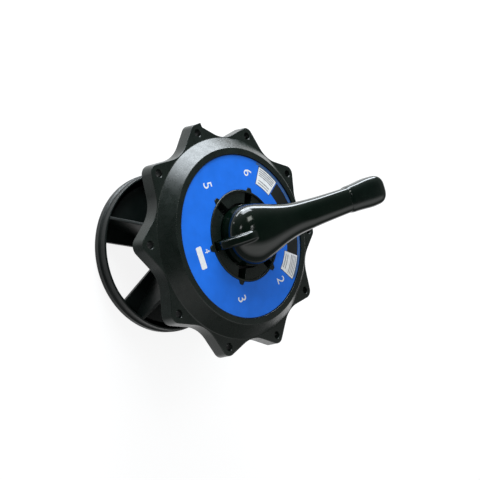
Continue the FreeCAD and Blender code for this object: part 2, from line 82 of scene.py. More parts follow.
# Cover: well, seat of the label, crown and spigot
SLOTS = 6
SLOT_PITCH = 60.0
SLOT_HALF = 4.2
FLOOR_T = 5.0
BUSH_R = 14.65
BOSS_R = 19.05
BOSS_FOOT = -16.0
LAND_IN_R = 29.5
LAND_OUT_R = 40.6
LAND_Z = (-2.5, 8.6)
POINTER_Z = (7.5, 9.4)
LIP_IN_R = 39.8
LIP_R = 41.8
LIP_Z = 9.9
SEAT_R = 74.6
SEAT_Z = 8.3
CROWN_R = 80.2
CROWN_Z = 10.4
CROWN_FOOT_R = 90.5
SPIGOT_R = 84.0
SPIGOT_IN_R = 77.0
SPIGOT_FOOT = -21.5
GROOVE_R = 80.4
GROOVE_Z = (-19.4, -14.4)
RIB_T = 3.0

# Printed ring, with a strip of painted shade on it
LABEL_IN_R = 42.05
LABEL_R = 74.35
LABEL_TOP = 9.1
LAYER_T = 0.03
NOTCH_HALF = 3.62
NOTCH_TIP = (45.45, 1.95)
EDGE_R = (73.85, 74.3)
# Strip of painted shade near the outer edge, on one side of the ring
SHADE_STRIP_R = (71.0, 73.6)
SECTOR_R = (55.6, 70.6)
FRAME_R = (52.2, 71.0)
FRAME_EDGE = 0.5
FIELD_R = (52.7, 70.4)
PANELS = ((31.0, 51.6), (-52.2, -32.0))
BOX = ((-61.2, -13.6), (-55.0, 5.9))
LONG_RULES = (68.6, 66.6, 64.6, 62.6)
SHORT_RULES = (57.6, 55.0)
RULE_HALF = 0.5
DIGIT_SHARE = 0.72
DIGIT_T = 0.08

# Key: ring, hub, floor with one open port, gussets, spoke and hood
KEY_FOOT = -112.0
FLOOR_TOP = -108.0
RING_R = 81.5
RING_IN_R = 71.2
BAND_TOP = -106.0
RIM_R = 79.9
RIM_IN_R = 77.7
RIM_Z = -97.0
KEY_IN_R = 17.0
KEY_OUT_R = 78.8
COLLAR_R = 28.4
COLLAR_Z = -48.0
HUB_R = 18.0
HUB_FOOT_R = 24.0
HUB_TOP = -43.0
STEM_BORE_R = 11.03
STEM_FOOT = -104.0
SCREW_BORE_R = 4.4
RECESS_R = 9.5
RECESS_TOP = -105.8
HOOD_HALF = 86.0
HOOD_T = 5.8
FLOOR_SWEEP = 69.7

# Handle: hub, heel, nose, arm and grip
PIN_Z = 16.0
PIN_R = 4.03
PIN_BORE_END = 19.0
STEM_R = 11.0
HEEL_Z = 2.4
LEVER = 19.0
PRESS = math.radians(15.1)
DOME_R = 28.2
DOME_SQUARENESS = 2.8
DOME_TOP = 34.4
CREST_SLOPE = 0.25
WAIST_Z = 13.0
NOSE_LOW = 9.0
NOSE_REACH = -37.4
NOSE_HALF = 4.0
NOSE_CHAMFER = 1.2
NOSE_STEPS = 24
HEEL_RELIEF = (12.0, 9.0)
POCKET_GAP = 1.0
POCKET_R = 11.4
POCKET_HALF = 7.3
SHOULDER_HALF = 12.0
SHOULDER_Z = 6.8
ARM_WALL = 3.4
WEB_T = 2.4
WEB_RECESS = 6.0
WEB_X = (54.0, 72.0, 88.0)
GRIP_WALL = 2.6
BORE_WALL = 2.57
SLEEVE_GROWTH = (0.8, 1.1, 1.4, 1.4)
TIP_LENGTH = 13.7
TIP_POWER = 0.9
SQUARENESS = 3.2
AROUND = 96

# Each station is x, z, lean in degrees, half width, height over the centre line and depth under it
ARM = [
    (0.0, 13.0, 0.0, 26.3, 21.2, 10.4), (10.0, 15.5, 8.0, 25.6, 20.8, 10.4),
    (19.0, 19.2, 16.0, 23.0, 19.4, 10.4), (30.0, 25.2, 22.0, 19.1, 16.2, 9.8),
    (45.0, 31.8, 23.0, 15.5, 13.4, 8.4), (60.0, 37.9, 21.0, 13.8, 11.7, 8.0),
    (80.0, 45.5, 18.0, 12.8, 9.8, 8.2), (102.0, 52.6, 16.5, 12.3, 8.6, 8.6),
]
GRIP = [
    (102.0, 52.6, 16.5, 12.3, 8.6, 8.6), (116.0, 56.4, 15.5, 12.8, 8.8, 8.8),
    (130.0, 60.3, 15.5, 13.4, 9.0, 9.0), (139.0, 62.9, 16.0, 12.8, 8.8, 8.8),
]
TIP_START = (134.5, 61.6, 16.0, 13.2, 8.9, 8.9)

# Spring
WIRE_R = 2.2
COIL_R = 23.6
TURNS = 5.25
GROUND_SHARE = 0.55
GROUND_GAP = 0.03
SPRING_FOOT = -41.8
SPRING_TOP = -7.95

# Places outside the handle that cuts start from, and how far one cut reaches into the next
BELOW = -5.0
OUTSIDE = 40.0
OVERLAP = 0.1

# Moulded forms: size of their small faces, and how far a point moves in one round of smoothing
VOXEL = 0.5
BLEND_VOXEL = 0.7
BLEND_ROUNDS = 160
BODY_ROUNDS = 10
SLEEVE_ROUNDS = 5
EASE = 0.5


# Outlines in a plane
def fillet(points, radii, steps=6):
    """Rounds the corners of a closed outline of 2D points, each by its own radius."""
    most_of_side = 0.48
    nearly_straight = 0.01
    out = []
    for i, (point, radius) in enumerate(zip(points, radii)):
        p = np.array(point, float)
        a = np.array(points[i - 1], float) - p
        b = np.array(points[(i + 1) % len(points)], float) - p
        la, lb = np.linalg.norm(a), np.linalg.norm(b)
        a, b = a / la, b / lb
        half = math.acos(max(-1.0, min(1.0, float(a @ b)))) / 2
        if radius <= 0 or half > math.pi / 2 - nearly_straight:
            out.append(tuple(p))
            continue
        cut = min(radius / math.tan(half), most_of_side * la, most_of_side * lb)
        radius = cut * math.tan(half)
        centre = p + (a + b) / np.linalg.norm(a + b) * radius / math.sin(half)
        start, end = p + a * cut - centre, p + b * cut - centre
        angle = math.atan2(start[0] * end[1] - start[1] * end[0], start @ end)
        for k in range(steps + 1):
            c, s = math.cos(angle * k / steps), math.sin(angle * k / steps)
            x = centre[0] + c * start[0] - s * start[1]
            y = centre[1] + s * start[0] + c * start[1]
            out.append((x, y))
    return out


def rounded(corners):
    """Outline from corners that each have two coordinates and a rounding."""
    return fillet([corner[:2] for corner in corners], [corner[2] for corner in corners])


def arc(radius, start_deg, end_deg, count, centre=(0.0, 0.0)):
    """Points of an arc, from its start to its end in a number of steps."""
    points = []
    for k in range(count + 1):
        angle = math.radians(start_deg + (end_deg - start_deg) * k / count)
        points.append((centre[0] + radius * math.cos(angle), centre[1] + radius * math.sin(angle)))
    return points


def circle(radius, count=SPIN, centre=(0.0, 0.0)):
    """Closed outline of a circle."""
    return arc(radius, 0, 360, count, centre)[:-1]


def sector(inner, outer, start_deg, end_deg, count=48):
    """Closed outline of a piece of a ring about the valve axis."""
    return arc(outer, start_deg, end_deg, count) + arc(inner, end_deg, start_deg, count)


def rectangle(low, high):
    """Closed outline of a rectangle, from two opposite corners."""
    return [low, (high[0], low[1]), high, (low[0], high[1])]


def turned(points, degrees):
    """The same points, turned about the valve axis."""
    c, s = math.cos(math.radians(degrees)), math.sin(math.radians(degrees))
    return [(x * c - y * s, x * s + y * c) for x, y in points]


# Meshes
def cleaned(mesh, distance=1e-7):
    """Merges points that lie together, drops loose edges and turns all faces outwards."""
    tidy = bmesh.new()
    tidy.from_mesh(mesh)
    bmesh.ops.remove_doubles(tidy, verts=tidy.verts, dist=distance)
    bmesh.ops.dissolve_degenerate(tidy, edges=tidy.edges, dist=distance)
    loose = [edge for edge in tidy.edges if not edge.link_faces]
    bmesh.ops.delete(tidy, geom=loose, context="EDGES")
    bmesh.ops.recalc_face_normals(tidy, faces=tidy.faces)
    tidy.to_mesh(mesh)
    tidy.free()
    return mesh


def mesh_of(verts, faces):
    """Mesh in metres of points in millimetres."""
    mesh = bpy.data.meshes.new("mesh")
    mesh.from_pydata([tuple(np.array(v) * MM) for v in verts], [], faces)
    return cleaned(mesh)


def joined(meshes):
    """One mesh that holds several, as they are."""
    result = bmesh.new()
    for mesh in meshes:
        result.from_mesh(mesh)
    mesh = bpy.data.meshes.new("mesh")
    result.to_mesh(mesh)
    result.free()
    return mesh


def row_faces(rows, around, closed=False):
    """Faces between rows of points, each a closed loop. An open run has a face at each end."""
    faces = []
    for k in range(rows if closed else rows - 1):
        low, high = k * around, (k + 1) % rows * around
        for i in range(around):
            j = (i + 1) % around
            faces.append((low + i, low + j, high + j, high + i))
    if not closed:
        faces += [tuple(range(around))[::-1], tuple(range((rows - 1) * around, rows * around))]
    return faces


def revolved(profile, start_deg=0.0, sweep_deg=360.0, segments=SPIN):
    """Mesh of a closed outline of (r, z) points turned about the valve axis."""
    whole = sweep_deg >= 360
    count = int(segments * sweep_deg / 360)
    rings = count if whole else count + 1
    verts = []
    for k in range(rings):
        angle = math.radians(start_deg + sweep_deg * k / count)
        verts += [(r * math.cos(angle), r * math.sin(angle), z) for r, z in profile]
    return mesh_of(verts, row_faces(rings, len(profile), whole))


def evaluated_mesh(source):
    """Plain mesh of a curve, a text or an object with modifiers, which is then taken away."""
    is_object = isinstance(source, bpy.types.Object)
    holder = source if is_object else bpy.data.objects.new("holder", source)
    if not holder.users_collection:
        bpy.context.scene.collection.objects.link(holder)
    bpy.context.view_layer.update()
    evaluated = holder.evaluated_get(bpy.context.evaluated_depsgraph_get())
    mesh = bpy.data.meshes.new_from_object(evaluated)
    bpy.data.objects.remove(holder)
    return mesh


def plate(outlines, low, high, rounding=0.0, steps=3):
    """Mesh of a flat plate from closed outlines of (x, y), the later ones holes, with rounded edges."""
    curve = bpy.data.curves.new("outline", "CURVE")
    curve.dimensions = "2D"
    curve.fill_mode = "BOTH"
    for outline in outlines:
        spline = curve.splines.new("POLY")
        spline.points.add(len(outline) - 1)
        for point, (x, y) in zip(spline.points, outline):
            point.co = (x * MM, y * MM, 0, 1)
        spline.use_cyclic_u = True
    curve.extrude = (high - low) / 2 * MM - rounding * MM
    curve.bevel_depth = rounding * MM
    curve.bevel_resolution = steps
    curve.offset = -rounding * MM
    mesh = evaluated_mesh(curve)
    mesh.transform(Matrix.Translation((0, 0, (low + high) / 2 * MM)))
    return cleaned(mesh, 1e-6)


def side_plate(outline, half_width, rounding=0.0):
    """Plate from an outline of (x, z) points, thickened both ways along Y."""
    mesh = plate([outline], -half_width, half_width, rounding)
    mesh.transform(Matrix.Rotation(math.pi / 2, 4, "X"))
    return mesh


def standing(outline, thickness, azimuth_deg, rounding):
    """Plate on a radius of the valve, from an outline of (r, z) points."""
    mesh = side_plate(outline, thickness / 2, rounding)
    mesh.transform(Matrix.Rotation(math.radians(azimuth_deg), 4, "Z"))
    return mesh


def combined(mesh, operation, others):
    """Boolean of closed meshes, one after the other."""
    for other in others:
        holder = bpy.data.objects.new("holder", mesh)
        tool = bpy.data.objects.new("tool", other)
        for item in (holder, tool):
            bpy.context.scene.collection.objects.link(item)
        boolean = holder.modifiers.new("boolean", "BOOLEAN")
        boolean.operation = operation
        boolean.solver = "MANIFOLD"
        boolean.object = tool
        mesh = evaluated_mesh(holder)
        bpy.data.objects.remove(tool)
    return mesh


def remeshed(mesh, voxel):
    """The same form in small even faces."""
    holder = bpy.data.objects.new("holder", mesh)
    remesh = holder.modifiers.new("remesh", "REMESH")
    remesh.mode = "VOXEL"
    remesh.voxel_size = voxel * MM
    return evaluated_mesh(holder)


def moulded(mesh, rounds):
    """The same form with the small radii that a moulding has on its edges."""
    holder = bpy.data.objects.new("holder", remeshed(mesh, VOXEL))
    smooth = holder.modifiers.new("smooth", "SMOOTH")
    smooth.factor = EASE
    smooth.iterations = rounds
    return evaluated_mesh(holder)


def eased(mesh, rounds, weight):
    """Softens a form by drawing each point towards its neighbours, as far as its weight lets it."""
    count = len(mesh.vertices)
    points = np.empty(count * 3)
    mesh.vertices.foreach_get("co", points)
    points = points.reshape(-1, 3)
    ends = np.empty(len(mesh.edges) * 2, int)
    mesh.edges.foreach_get("vertices", ends)
    a, b = ends.reshape(-1, 2).T
    degree = np.bincount(ends, minlength=count)[:, None]
    share = EASE * weight(points / MM)[:, None]
    for _ in range(rounds):
        total = []
        for axis in range(3):
            from_b = np.bincount(a, points[b, axis], count)
            total.append(from_b + np.bincount(b, points[a, axis], count))
        points += share * (np.stack(total, 1) / degree - points)
    mesh.vertices.foreach_set("co", points.ravel())
    return mesh


def new_piece(name, mesh, body, slot, *materials, sharp_deg=40.0, even=True):
    """Piece of the visual model that rides on a body, with smooth faces and sharp edges."""
    mesh.materials.clear()
    for material in materials:
        mesh.materials.append(material)
    mesh.shade_smooth()
    mesh.set_sharp_from_angle(angle=math.radians(sharp_deg))
    piece = bpy.data.objects.new(name, mesh)
    bpy.context.scene.collection.objects.link(piece)
    if even:
        normals = piece.modifiers.new("even_normals", "WEIGHTED_NORMAL")
        normals.keep_sharp = True
    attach(piece, body)
    return piece


# Shader nodes
def mix_rgb(nodes, links, factor, first, second):
    """Colour between two fixed ones."""
    mix = nodes.new("ShaderNodeMix")
    mix.data_type = "RGBA"
    links.new(factor, mix.inputs["Factor"])
    for name, colour in (("A", first), ("B", second)):
        socket = next(i for i in mix.inputs if i.name == name and i.type == "RGBA")
        socket.default_value = (*colour, 1)
    return next(o for o in mix.outputs if o.type == "RGBA")


def noise(nodes, links, coordinates, scale, detail, roughness=0.55):
    """Value of an even noise."""
    node = nodes.new("ShaderNodeTexNoise")
    node.inputs["Scale"].default_value = scale
    node.inputs["Detail"].default_value = detail
    node.inputs["Roughness"].default_value = roughness
    links.new(coordinates, node.inputs["Vector"])
    return node.outputs["Fac"]


def mapped(nodes, links, value, low, high, to_low, to_high):
    """Value that runs from one level to another while the given one runs from low to high."""
    node = nodes.new("ShaderNodeMapRange")
    node.inputs["From Min"].default_value = low
    node.inputs["From Max"].default_value = high
    node.inputs["To Min"].default_value = to_low
    node.inputs["To Max"].default_value = to_high
    links.new(value, node.inputs["Value"])
    return node.outputs["Result"]


def calculated(nodes, links, operation, *values):
    """Result of a calculation with numbers and the outputs of nodes."""
    node = nodes.new("ShaderNodeMath")
    node.operation = operation
    for value, socket in zip(values, node.inputs):
        if isinstance(value, float):
            socket.default_value = value
        else:
            links.new(value, socket)
    return node.outputs[0]


def chosen(nodes, links, factor, first, second):
    """The first shader where the factor is 0, and the second where it is 1."""
    mix = nodes.new("ShaderNodeMixShader")
    links.new(factor, mix.inputs["Fac"])
    links.new(first, mix.inputs[1])
    links.new(second, mix.inputs[2])
    return mix.outputs[0]


def surface(name, dark, light, rough, grain_mm, grain_depth, specular=0.5, metallic=0.0, patch_mm=14.0):
    """Moulded or machined surface: patches of two tones, uneven gloss and a fine raised grain."""
    material = bpy.data.materials.new(name)
    material.use_nodes = True
    nodes, links = material.node_tree.nodes, material.node_tree.links
    shader = nodes["Principled BSDF"]
    shader.inputs["Specular IOR Level"].default_value = specular
    shader.inputs["Metallic"].default_value = metallic
    where = nodes.new("ShaderNodeTexCoord").outputs["Object"]
    patches = noise(nodes, links, where, 1000 / patch_mm, 4.0)
    tone = mapped(nodes, links, patches, 0.35, 0.65, 0, 1)
    links.new(mix_rgb(nodes, links, tone, dark, light), shader.inputs["Base Color"])
    smears = noise(nodes, links, where, 2600 / patch_mm, 5.0, 0.65)
    links.new(mapped(nodes, links, smears, 0.3, 0.7, *rough), shader.inputs["Roughness"])
    grain = noise(nodes, links, where, 1000 / grain_mm, 3.0, 0.6)
    bump = nodes.new("ShaderNodeBump")
    bump.inputs["Strength"].default_value = 1.0
    bump.inputs["Distance"].default_value = grain_depth * MM
    links.new(grain, bump.inputs["Height"])
    links.new(bump.outputs["Normal"], shader.inputs["Normal"])
    return material


def ink_and_shade(name, dark, light, rough=(0.34, 0.42), grain_mm=1.0, patch_mm=14.0):
    """Nearly smooth field on the ring: print, and one strip of painted shade."""
    return surface(name, dark, light, rough, grain_mm, 0.002, specular=0.35, patch_mm=patch_mm)


# Materials
cover_black = surface(
    "cover_plastic", (0.0032, 0.0072, 0.0052), (0.0062, 0.0112, 0.0086),
    rough=(0.22, 0.36), grain_mm=1.1, grain_depth=0.014, specular=0.4)
hole_black = surface(
    "hole_plastic", (0.004, 0.0045, 0.004), (0.006, 0.0068, 0.006),
    rough=(0.6, 0.8), grain_mm=0.9, grain_depth=0.006, specular=0.25)
key_black = surface(
    "key_plastic", (0.0030, 0.0056, 0.0048), (0.0056, 0.0088, 0.0078),
    rough=(0.3, 0.42), grain_mm=0.8, grain_depth=0.006, specular=0.35)
handle_black = surface(
    "handle_plastic", (0.0012, 0.0046, 0.0028), (0.0024, 0.0068, 0.0042),
    rough=(0.07, 0.13), grain_mm=2.6, grain_depth=0.0014)
grip_black = surface(
    "grip_rubber", (0.0014, 0.0048, 0.0032), (0.0028, 0.0072, 0.0052),
    rough=(0.10, 0.2), grain_mm=1.6, grain_depth=0.005)
seal_black = surface(
    "seal_rubber", (0.008, 0.008, 0.008), (0.014, 0.014, 0.014),
    rough=(0.45, 0.6), grain_mm=0.6, grain_depth=0.01)
bush_white = surface(
    "bush_plastic", (0.55, 0.54, 0.49), (0.66, 0.65, 0.6),
    rough=(0.3, 0.45), grain_mm=0.8, grain_depth=0.005)
steel = surface(
    "stainless", (0.50, 0.50, 0.49), (0.62, 0.62, 0.60),
    rough=(0.2, 0.36), grain_mm=0.5, grain_depth=0.002, metallic=1.0, patch_mm=9.0)
spring_steel = surface(
    "spring_steel", (0.40, 0.40, 0.39), (0.55, 0.55, 0.53),
    rough=(0.24, 0.4), grain_mm=0.4, grain_depth=0.003, metallic=1.0, patch_mm=6.0)
label_blue = ink_and_shade("label_print", (0.004, 0.142, 0.70), (0.006, 0.16, 0.78), grain_mm=1.2)
ink_white = ink_and_shade("label_white", (0.72, 0.73, 0.74), (0.84, 0.85, 0.86), (0.34, 0.44), 0.9, 5.0)
ink_black = ink_and_shade("label_black", (0.009, 0.011, 0.010), (0.014, 0.017, 0.015), (0.32, 0.42), 0.9)
ink_grey = ink_and_shade("label_rules", (0.16, 0.165, 0.17), (0.42, 0.43, 0.44), (0.36, 0.46), 0.5, 1.1)
ink_navy = ink_and_shade("label_edge", (0.006, 0.018, 0.075), (0.009, 0.026, 0.10))
# Painted shade: a darker, greyer blue for the strip near the ring's outer edge on one side
painted_shade_blue = ink_and_shade("label_painted_shade", (0.045, 0.11, 0.25), (0.06, 0.135, 0.30))

# Cover: crown with well, label seat, spigot and boss, as corners of r, z and rounding
crown_corners = [
    (BUSH_R, 0, 0.4), (LIP_IN_R, 0, 0.8), (LIP_IN_R, LIP_Z, 0.75), (LIP_R, LIP_Z, 0.75),
    (LIP_R, SEAT_Z, 0.3), (SEAT_R, SEAT_Z, 0.3), (SEAT_R, CROWN_Z, 0.5), (CROWN_R, CROWN_Z, 1.4),
    (91.63, 0.35, 0), (92.02, 0.13, 0), (92.45, 0.03, 0), (92.45, -0.3, 0),
    (CROWN_FOOT_R, -0.3, 0), (CROWN_FOOT_R, -FLANGE_T, 0.3), (SPIGOT_R, -FLANGE_T, 0.3),
    (SPIGOT_R, GROOVE_Z[1], 0.2), (GROOVE_R, GROOVE_Z[1], 0.4), (GROOVE_R, GROOVE_Z[0], 0.4),
    (SPIGOT_R, GROOVE_Z[0], 0.2), (SPIGOT_R, SPIGOT_FOOT, 0.6), (SPIGOT_IN_R, SPIGOT_FOOT, 0.6),
    (SPIGOT_IN_R, -0.9, 1.5), (70, 3.7, 1.5), (45.4, 3.7, 1.0), (45.4, -FLOOR_T, 1.0),
    (BOSS_R, -FLOOR_T, 1.0), (BOSS_R, BOSS_FOOT, 0.6), (BUSH_R, BOSS_FOOT, 0.4),
]
crown_mesh = revolved(rounded(crown_corners), segments=FINE_SPIN)
crown = new_piece("cover_crown", crown_mesh, "cover", "black_cover", cover_black)
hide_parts("cover")


def star_outline(z, inset):
    """Outline of the flange at a height, which the rounding of an edge may pull inwards."""
    growth = DRAFT * -z / FLANGE_T - inset
    side = TIP_R - inset
    tip_r = TIP_R + growth
    half_pitch = LOBE_PITCH / 2
    # Each tip's arc runs on into the arc of the valley, where both have the same tangent
    valley = np.array(turned([(VALLEY_R + VALLEY_FILLET, 0.0)], half_pitch)[0])
    across = valley - np.array([BOLT_R, 0.0])
    lean = math.degrees(math.acos((TIP_R + VALLEY_FILLET) / np.linalg.norm(across)))
    flank = math.degrees(math.atan2(across[1], across[0])) - lean
    dip_end = LOBE_PITCH + 180 - flank
    dip = arc(VALLEY_FILLET - growth, flank + 180, dip_end, 18, tuple(valley))
    c, s = math.cos(math.radians(flank)), math.sin(math.radians(flank))
    # The side of the square lobe starts where the valley's flank, run on straight, reaches its width
    run = (side - tip_r * s) / c
    foot = (BOLT_R + tip_r * c - run * s, -side)
    meet = math.degrees(math.acos(min(1.0, side / tip_r)))
    outline = []
    for k in range(LOBES):
        if k == SQUARE_LOBE:
            top = (BOLT_R + side, -tip_r * math.sin(math.radians(meet)) - 0.01)
            corner = fillet([foot, (BOLT_R + side, -side), top], [0, SQUARE_ROUNDING, 0], 5)
            lobe = corner + arc(tip_r, -meet, flank, 20, (BOLT_R, 0.0))
        else:
            lobe = arc(tip_r, -flank, flank, 26, (BOLT_R, 0.0))
        outline += turned(lobe + dip, FIRST_LOBE + LOBE_PITCH * k)
    return [(x, y, z) for x, y in outline]


def flange():
    """Walls from stacked outlines, closed above and below by faces with the holes left open."""
    shell = bmesh.new()

    def wall(rings, material):
        rows = [[shell.verts.new(Vector(p) * MM) for p in ring] for ring in rings]
        for low, high in zip(rows, rows[1:]):
            for i in range(len(low)):
                j = (i + 1) % len(low)
                shell.faces.new((low[i], low[j], high[j], high[i])).material_index = material
        return rows[0], rows[-1]

    # Heights and insets of the outlines: a small radius at the foot and a larger one at the top
    levels = [(-FLANGE_T, 0.4), (-FLANGE_T + 0.12, 0.12), (-FLANGE_T + 0.4, 0.0), (-FLANGE_T / 2, 0.0)]
    for degrees in (0, 22.5, 45, 67.5, 90):
        bend = math.radians(degrees)
        inset = FLANGE_ROUNDING * (1 - math.cos(bend))
        levels.append((FLANGE_ROUNDING * (math.sin(bend) - 1), inset))
    ends = [wall([star_outline(z, inset) for z, inset in levels], 0)]
    ends.append(wall([[(x, y, z) for x, y in circle(FLANGE_IN_R)] for z in (-FLANGE_T, 0.0)], 0))
    for k in range(LOBES):
        centre = turned([(BOLT_R, 0.0)], FIRST_LOBE + LOBE_PITCH * k)[0]
        sizes = [(HOLE_R, -FLANGE_T), (HOLE_R, -HOLE_BEVEL), (HOLE_R + HOLE_BEVEL, 0.0)]
        ends.append(wall([[(x, y, z) for x, y in circle(r, 40, centre)] for r, z in sizes], 1))
    for side in (0, 1):
        edges = []
        for end in ends:
            ring = end[side]
            edges += [shell.edges.get((a, b)) for a, b in zip(ring, ring[1:] + ring[:1])]
        bmesh.ops.triangle_fill(shell, use_beauty=True, edges=edges)
    bmesh.ops.recalc_face_normals(shell, faces=shell.faces)
    mesh = bpy.data.meshes.new("mesh")
    shell.to_mesh(mesh)
    shell.free()
    return mesh


new_piece("cover_flange", flange(), "cover", "black_cover", cover_black, hole_black)

# Cover: lands between the slots, pointers outside them, and ribs underneath
lands = []
pointers = []
pointer_corners = [
    (40.8, -3.4, 0), (LIP_R, -3.4, 0.3), (45.2, -1.7, 0.5),
    (45.2, 1.7, 0.5), (LIP_R, 3.4, 0.3), (40.8, 3.4, 0),
]
for k in range(SLOTS):
    inner_gap = math.degrees(math.asin(SLOT_HALF / LAND_IN_R))
    outer_gap = math.degrees(math.asin(SLOT_HALF / LAND_OUT_R))
    outline = arc(LAND_OUT_R, outer_gap, SLOT_PITCH - outer_gap, 30)
    outline += arc(LAND_IN_R, SLOT_PITCH - inner_gap, inner_gap, 30)
    lands.append(plate([turned(outline, SLOT_PITCH * k)], *LAND_Z, 0.5))
    pointers.append(plate([turned(rounded(pointer_corners), SLOT_PITCH * k)], *POINTER_Z, 0.25))
new_piece("cover_lands", joined(lands), "cover", "black_cover", cover_black)
new_piece("cover_pointers", joined(pointers), "cover", "black_cover", cover_black)
rib_outline = [(43.6, -FLOOR_T), (80.5, -15), (80.5, 0), (70, 6), (43.6, 6)]
ribs = [standing(rib_outline, RIB_T, FIRST_LOBE + LOBE_PITCH * k, 0.5) for k in range(LOBES)]
new_piece("cover_ribs", joined(ribs), "cover", "black_cover", cover_black)

# Printed ring: its ground, with a notch round each pointer
inner_loop = []
half_notch = math.degrees(math.asin(NOTCH_HALF / LABEL_IN_R))
for k in range(SLOTS):
    notch = [(NOTCH_TIP[0], -NOTCH_TIP[1]), NOTCH_TIP]
    between = arc(LABEL_IN_R, half_notch, SLOT_PITCH - half_notch, 24)
    inner_loop += turned(notch + between, SLOT_PITCH * k)
label_mesh = plate([circle(LABEL_R), inner_loop], SEAT_Z, LABEL_TOP, 0.08, 1)
label = new_piece("label_ring", label_mesh, "cover", "label_print", label_blue)
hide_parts("position_label")


def print_and_shade_layer(name, outlines, material, layer):
    """Thin print on the ring, and one strip of painted shade. Each item is an outline with its holes,
    and higher layers lie on top.
    """
    top = LABEL_TOP + LAYER_T * layer
    prints = [plate(item, LABEL_TOP - 0.05, top) for item in outlines]
    return new_piece(name, joined(prints), "cover", "label_print", material)


# Print: edge line and sector, a strip of painted shade, then two ruled panels and a blank box
print_and_shade_layer("label_edges", [[circle(EDGE_R[1]), circle(EDGE_R[0])]], ink_navy, 1)
# Painted shade: a darker, greyer blue strip near the outer edge, on one side of the ring only
print_and_shade_layer("label_painted_shade", [[sector(*SHADE_STRIP_R, -50, 55)]], painted_shade_blue, 1)
print_and_shade_layer("label_sector", [[sector(*SECTOR_R, -31.6, 30)]], ink_black, 1)
frames = [[sector(*FRAME_R, low - FRAME_EDGE, high + FRAME_EDGE)] for low, high in PANELS]
print_and_shade_layer("label_frames", frames, ink_black, 1)
fields = [[sector(*FIELD_R, low, high)] for low, high in PANELS]
fields.append([fillet(rectangle(*BOX), [1.2] * 4)])
print_and_shade_layer("label_fields", fields, ink_white, 2)
rules = []
for low, high in PANELS:
    for r in LONG_RULES:
        rules.append([sector(r - RULE_HALF, r + RULE_HALF, low + 1.2, high - 1.2, 16)])
    for r in SHORT_RULES:
        rules.append([sector(r - RULE_HALF, r + RULE_HALF, low + 3.0, high - 2.5, 16)])
print_and_shade_layer("label_rules", rules, ink_grey, 3)


def numeral(text, centre, height):
    """Plain numeral whose top points along X, like the print on the ring."""
    curve = bpy.data.curves.new("numeral", "FONT")
    curve.body = text
    curve.size = height * MM / DIGIT_SHARE
    curve.extrude = DIGIT_T / 2 * MM
    curve.align_x = "CENTER"
    curve.align_y = "CENTER"
    mesh = evaluated_mesh(curve)
    upright = Matrix(((0, 1, 0, 0), (-1, 0, 0, 0), (0, 0, 1, 0), (0, 0, 0, 1)))
    mesh.transform(Matrix.Translation((centre[0] * MM, centre[1] * MM, LABEL_TOP * MM)) @ upright)
    return mesh


numerals = [
    ("1", (49.6, 0.0), 6.0), ("2", (27.0, -51.5), 10.0), ("3", (-27.5, -51.0), 10.0),
    ("4", (-49.8, 0.0), 6.0), ("5", (-27.0, 53.0), 10.0), ("6", (26.0, 53.5), 10.0),
]
numeral_mesh = joined([numeral(*item) for item in numerals])
new_piece("label_numerals", cleaned(numeral_mesh), "cover", "label_print", ink_white)

# Key: ring and hub, as corners of r, z and rounding
ring_corners = [
    (RING_IN_R, KEY_FOOT, 0.4), (RING_R, KEY_FOOT, 0.7), (RING_R, BAND_TOP, 0.5),
    (RIM_R, BAND_TOP + RING_R - RIM_R, 0.8), (RIM_R, RIM_Z, 0.75), (RIM_IN_R, RIM_Z, 0.75),
    (RIM_IN_R, FLOOR_TOP, 0.8), (RING_IN_R, FLOOR_TOP, 0.4),
]
ring_mesh = revolved(rounded(ring_corners), segments=FINE_SPIN)
ring = new_piece("key_ring", ring_mesh, "key", "black_key", key_black)
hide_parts("key_rotor")
hub_corners = [
    (RECESS_R, KEY_FOOT, 0.3), (HUB_FOOT_R, KEY_FOOT, 0.8), (HUB_FOOT_R, FLOOR_TOP, 0.8),
    (HUB_R, FLOOR_TOP + 6, 3), (HUB_R, COLLAR_Z - 10.4, 2.5), (COLLAR_R, COLLAR_Z, 1.5),
    (COLLAR_R, HUB_TOP, 0.8), (STEM_BORE_R, HUB_TOP, 0.4), (STEM_BORE_R, STEM_FOOT, 0),
    (SCREW_BORE_R, STEM_FOOT, 0), (SCREW_BORE_R, RECESS_TOP, 0), (RECESS_R, RECESS_TOP, 0),
]
new_piece("key_hub", revolved(rounded(hub_corners)), "key", "black_key", key_black)


def slope_z(r):
    """Height of the key's sloping top at a radius."""
    return RIM_Z + (COLLAR_Z - RIM_Z) * (RIM_R - r) / (RIM_R - COLLAR_R)


# Key: floor on both sides of the port, gussets, hood and spoke
edge_z = slope_z(KEY_OUT_R)
floor_outlines = [sector(KEY_IN_R, KEY_OUT_R, a, a + FLOOR_SWEEP) for a in (HOOD_HALF, 204.3)]
floors = [plate([outline], KEY_FOOT, FLOOR_TOP, 0.4) for outline in floor_outlines]
new_piece("key_floor", joined(floors), "key", "black_key", key_black)
gusset_outline = [
    (KEY_IN_R, KEY_FOOT + 1), (KEY_OUT_R, KEY_FOOT + 1), (KEY_OUT_R, edge_z),
    (28.0, COLLAR_Z), (KEY_IN_R, COLLAR_Z),
]
gussets = [standing(gusset_outline, RIB_T, a, 0.6) for a in (140, 220, -HOOD_HALF, HOOD_HALF)]
new_piece("key_gussets", joined(gussets), "key", "black_key", key_black)
hood_profile = [
    (KEY_IN_R, COLLAR_Z), (COLLAR_R, COLLAR_Z), (KEY_OUT_R, edge_z),
    (KEY_OUT_R, edge_z - HOOD_T), (COLLAR_R, COLLAR_Z - HOOD_T), (KEY_IN_R, COLLAR_Z - HOOD_T),
]
new_piece("key_hood", revolved(hood_profile, -HOOD_HALF, 2 * HOOD_HALF), "key", "black_key", key_black)
spoke = plate([rectangle((KEY_IN_R, -3.5), (KEY_OUT_R, 3.5))], KEY_FOOT, BAND_TOP, 0.6)
new_piece("key_spoke", spoke, "key", "black_key", key_black)


